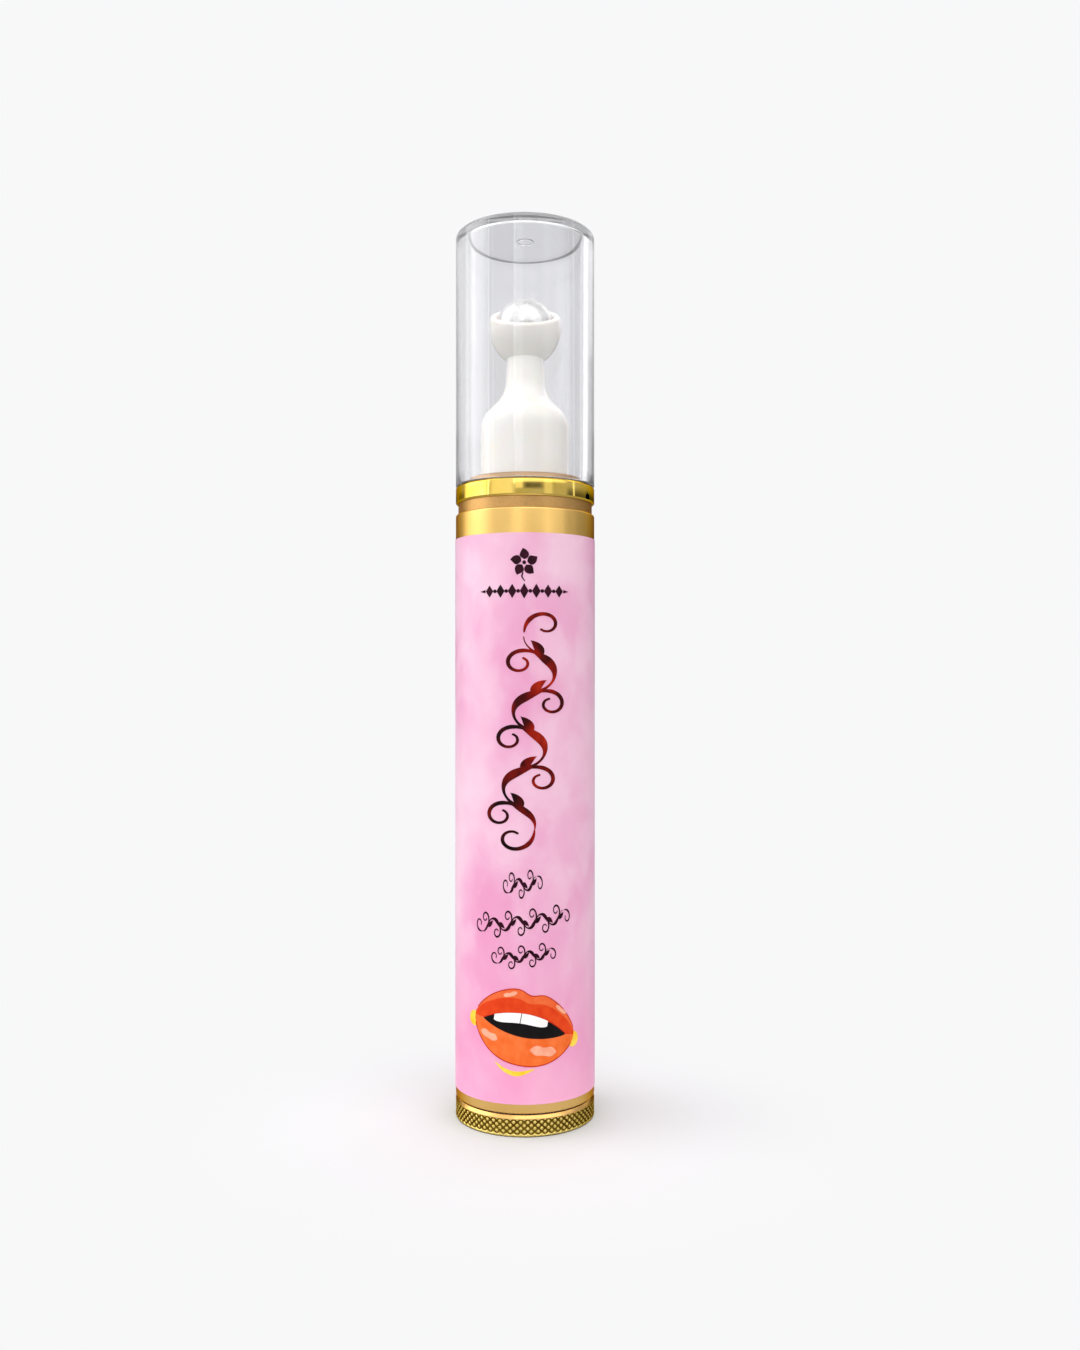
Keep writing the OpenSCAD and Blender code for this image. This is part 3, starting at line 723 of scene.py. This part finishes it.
def make_lips():
    """Plain drawing of parted lips, tilted a little, in flat inks."""
    width, tilt = 7.45, math.radians(-11)
    s0, z0 = 0.0, 14.5

    def place(a, h):
        """a from -1 to 1 along the mouth, h millimetres above its line."""
        x = width * a
        return (s0 + x * math.cos(tilt) - h * math.sin(tilt), z0 + x * math.sin(tilt) + h * math.cos(tilt))

    def dome(a, power, root):
        return max(0.0, 1 - abs(a) ** power) ** root

    def top(a):
        return (5.2 - 0.45 * a) * dome(a, 2.0, 0.7) - 0.7 * math.exp(-((a - 0.02) / 0.17) ** 2)

    def border(a):
        return 0.76 * top(a)

    def gap_top(a):
        return 2.0 * dome(a / 0.8, 1.9, 0.9) if abs(a) < 0.8 else 0.0

    def gap_low(a):
        return -1.15 * dome(a / 0.8, 1.9, 0.9) if abs(a) < 0.8 else 0.0

    def bottom(a):
        return -4.9 * dome(a, 2.3, 0.7)

    def patch(low, high, a0, a1, steps=48, across=6):
        return between(lambda a: place(a, low(a)), lambda a: place(a, high(a)), a0, a1, steps, across)

    edge = 0.985
    glow = ink("ink_yellow", "#F7C21E", "#FDDC58")
    corners = []
    for side in (-1, 1):
        corners.append(between(lambda a: place(side * 0.99 + 0.13 * math.cos(a), -0.6 - 1.05 * math.sin(a)),
                               lambda a: place(side * 0.99 + 0.13 * math.cos(a), -0.6 + 1.05 * math.sin(a)),
                               0.05, math.pi - 0.05, 14, 4))
    corners.append(stroke([(-4.0, 9.9, 0.1), (-2.6, 8.9, 0.5), (-0.8, 8.5, 0.62), (1.4, 9.1, 0.1)]))
    printed("lips_glow", corners, glow)
    printed("lips_lower", [patch(bottom, gap_low, -edge, edge)], ink("ink_orange", "#EC6624", "#F5783A"), 1)
    printed("lips_upper", [patch(gap_top, border, -edge, edge)], ink("ink_red", "#DC3A10", "#E64A18"), 1)
    printed("lips_border", [patch(border, top, -edge, edge)], ink("ink_coral", "#EA5E2C", "#F0703C"), 1)
    printed("lips_gap", [patch(gap_low, gap_top, -0.78, 0.78)], ink("ink_black", "#060506", "#120C0E"), 2)
    teeth = [patch(lambda a: gap_top(a) - 1.35 * dome((a + 0.09) / 0.53, 4, 0.5), gap_top, -0.58, -0.1, 20),
             patch(lambda a: gap_top(a) - 1.35 * dome((a + 0.09) / 0.53, 4, 0.5), gap_top, -0.085, 0.4, 20)]
    printed("lips_teeth", teeth, ink("ink_white", "#F4F2EE", "#FFFFFF"), 3)
    shine = []
    for a, h, length, thick, turn in ((-0.62, -2.0, 2.6, 0.95, -22), (0.42, -2.5, 3.6, 1.25, -8),
                                      (-0.36, 4.15, 1.9, 0.55, 14), (0.62, 3.2, 1.9, 0.5, -40)):
        s, z = place(a, h)
        angle = math.radians(turn)
        reach_s, reach_z = length / 2 * math.cos(angle), length / 2 * math.sin(angle)
        shine.append(stroke([(s - reach_s, z - reach_z, 0.2), (s - reach_s * 0.6, z - reach_z * 0.6, thick),
                             (s, z - 0.06, thick * 0.85), (s + reach_s * 0.6, z + reach_z * 0.6, thick),
                             (s + reach_s, z + reach_z, 0.2)]))
    printed("lips_shine", shine, ink("ink_peach", "#F3A081", "#F8B596"), 2)
    outline = [stroke([place(a / 20, top(a / 20)) + (0.13,) for a in range(-19, 20)], 2),
               stroke([place(a / 20, bottom(a / 20)) + (0.15,) for a in range(-19, 20)], 2),
               stroke([place(a / 20, gap_top(a / 20)) + (0.14,) for a in range(-16, 17)], 2)]
    printed("lips_line", outline, ink("ink_brick", "#B82408", "#CC3412"), 2)


# ---------------------------------------------------------------- studio

BACKDROP = "#F8F8F9"

# name: azimuth (0 is behind the camera, + to the right), half width, lowest and highest elevation, all in
# degrees, and the brightness that it adds to the room; a dark card takes some away
STUDIO = {
    "overhead": (0, 400, 30, 95, 0.45),
    "top light": (0, 60, 52, 86, 0.9),
    "left softbox": (-90, 26, -5, 60, 1.35),
    "left high": (-92, 20, 12, 60, 0.9),
    "left strip": (-62, 1.2, -5, 60, 2.0),
    "left fill": (-38, 20, -5, 45, 0.6),
    "front strip": (-17, 0.8, 12, 60, 3.0),
    "front fill": (27, 45, 13, 60, 1.05),
    "window": (-9, 6, 8, 30, 0.6),
    "front card": (14, 15, 8, 13, -0.45),
    "right panel": (39, 7, -5, 40, 0.35),
    "right wall": (102, 28, -20, 9, -0.45),
    "right strip": (88, 1.5, 0, 60, 1.2),
    "right high": (141, 9, 16, 60, 0.7),
    "left card": (-130, 14, -5, 9, -0.35),
    "back card": (165, 42, -5, 9, -0.5),
    "back wall": (180, 62, 12, 70, 0.24),
}
ROOM = 0.58


def make_world():
    """A pale backdrop for the camera, and a studio of soft lights for everything else."""
    world = bpy.data.worlds.new("studio")
    bpy.context.scene.world = world
    world.use_nodes = True
    tree = world.node_tree
    tree.nodes.clear()

    def add(kind, **settings):
        node = tree.nodes.new(kind)
        for key, value in settings.items():
            setattr(node, key, value)
        return node

    def math_node(operation, *values):
        node = add("ShaderNodeMath", operation=operation)
        for socket, value in zip(node.inputs, values):
            if isinstance(value, (int, float)):
                socket.default_value = value
            else:
                tree.links.new(value, socket)
        return node.outputs[0]

    def step(value, low, high):
        node = add("ShaderNodeMapRange", interpolation_type="SMOOTHSTEP")
        tree.links.new(value, node.inputs["Value"])
        node.inputs["From Min"].default_value = low
        node.inputs["From Max"].default_value = high
        return node.outputs["Result"]

    way = add("ShaderNodeSeparateXYZ")
    tree.links.new(add("ShaderNodeTexCoord").outputs["Generated"], way.inputs[0])
    front = math_node("MULTIPLY", way.outputs["Y"], -1.0)
    azimuth = math_node("DEGREES", math_node("ARCTAN2", way.outputs["X"], front))
    elevation = math_node("DEGREES", math_node("ARCSINE", way.outputs["Z"]))
    light = ROOM
    for centre, half, low, high, brightness in STUDIO.values():
        soft = min(6.0, max(0.5, half * 0.4))
        turned = math_node("MODULO", math_node("ADD", azimuth, 540.0 - centre), 360.0)
        turn = math_node("SUBTRACT", turned, 180.0)
        across = step(math_node("ABSOLUTE", turn), half + soft, half - soft)
        fade = min(6.0, (high - low) * 0.1)
        foot = min(0.6, fade)
        up = math_node("MULTIPLY", step(elevation, low - foot, low + foot),
                       step(elevation, high + fade, high - fade))
        panel = math_node("MULTIPLY", math_node("MULTIPLY", across, up), brightness)
        light = math_node("ADD", light, panel)
    room = add("ShaderNodeBackground")
    tree.links.new(light, room.inputs["Strength"])
    room.inputs["Color"].default_value = rgb("#FEFEFF")
    backdrop = add("ShaderNodeBackground")
    backdrop.inputs["Color"].default_value = rgb(BACKDROP)
    choice = add("ShaderNodeMixShader")
    tree.links.new(add("ShaderNodeLightPath").outputs["Is Camera Ray"], choice.inputs[0])
    tree.links.new(room.outputs[0], choice.inputs[1])
    tree.links.new(backdrop.outputs[0], choice.inputs[2])
    tree.links.new(choice.outputs[0], add("ShaderNodeOutputWorld").inputs[0])


def make_floor():
    """Plain pale floor that melts into the backdrop away from the tube."""
    look = Finish("floor", "#D0D0D0", Roughness=0.75)
    shade = look.noise(60 * MM, 2)
    look.feed("Base Color", look.ramp(shade, [(0.3, "#CFCFCF"), (0.7, "#D1D1D1")]))
    glow = look.add("ShaderNodeEmission")
    glow.inputs["Color"].default_value = rgb(BACKDROP)
    seen = look.add("ShaderNodeLightPath").outputs["Is Camera Ray"]
    look.tree.links.new(look.band(seen, 0, 1, 0.5, 1.0), glow.inputs["Strength"])
    blend = look.add("ShaderNodeMixShader", {0: look.band(look.radius(), 0.014, 0.05),
                                             1: look.shader.outputs[0], 2: glow.outputs[0]})
    output = look.tree.nodes["Material Output"]
    look.tree.links.new(blend.outputs[0], output.inputs["Surface"])
    rings = [0, 0.02, 0.06, 0.2, 1.0, 6.0]
    verts, rows = [], []
    for radius in rings:
        turns = 1 if radius == 0 else 64
        rows.append(list(range(len(verts), len(verts) + turns)))
        verts += [(radius * math.cos(TAU * k / 64), radius * math.sin(TAU * k / 64), -0.02 * MM)
                  for k in range(turns)]
    faces = []
    for a, b in zip(rows, rows[1:]):
        faces += bridge(a, b, True)
    add_mesh("floor", verts, faces, look.material)


def make_camera():
    """Level camera at half the tube's height, close enough for the rims to show as ellipses."""
    data = bpy.data.cameras.new("camera")
    data.lens = 32.3
    data.sensor_width = 36
    data.clip_start = 0.01
    data.shift_y = 15 / 1350
    camera = bpy.data.objects.new("camera", data)
    camera.location = (2.1 * MM, -171 * MM, 59.6 * MM)
    camera.rotation_euler = (math.radians(90), 0, 0)
    bpy.context.scene.collection.objects.link(camera)
    bpy.context.scene.camera = camera
    bpy.context.scene.view_settings.view_transform = "Standard"


dress_cad_nodes()
make_shell()
make_collar()
make_knob()
make_cap()
make_label()
dark_ink = plum_ink()
foil = red_foil()
make_emblem(dark_ink)
make_ornament(dark_ink)
make_vine(foil)
make_garlands(dark_ink)
make_lips()
make_world()
make_floor()
make_camera()
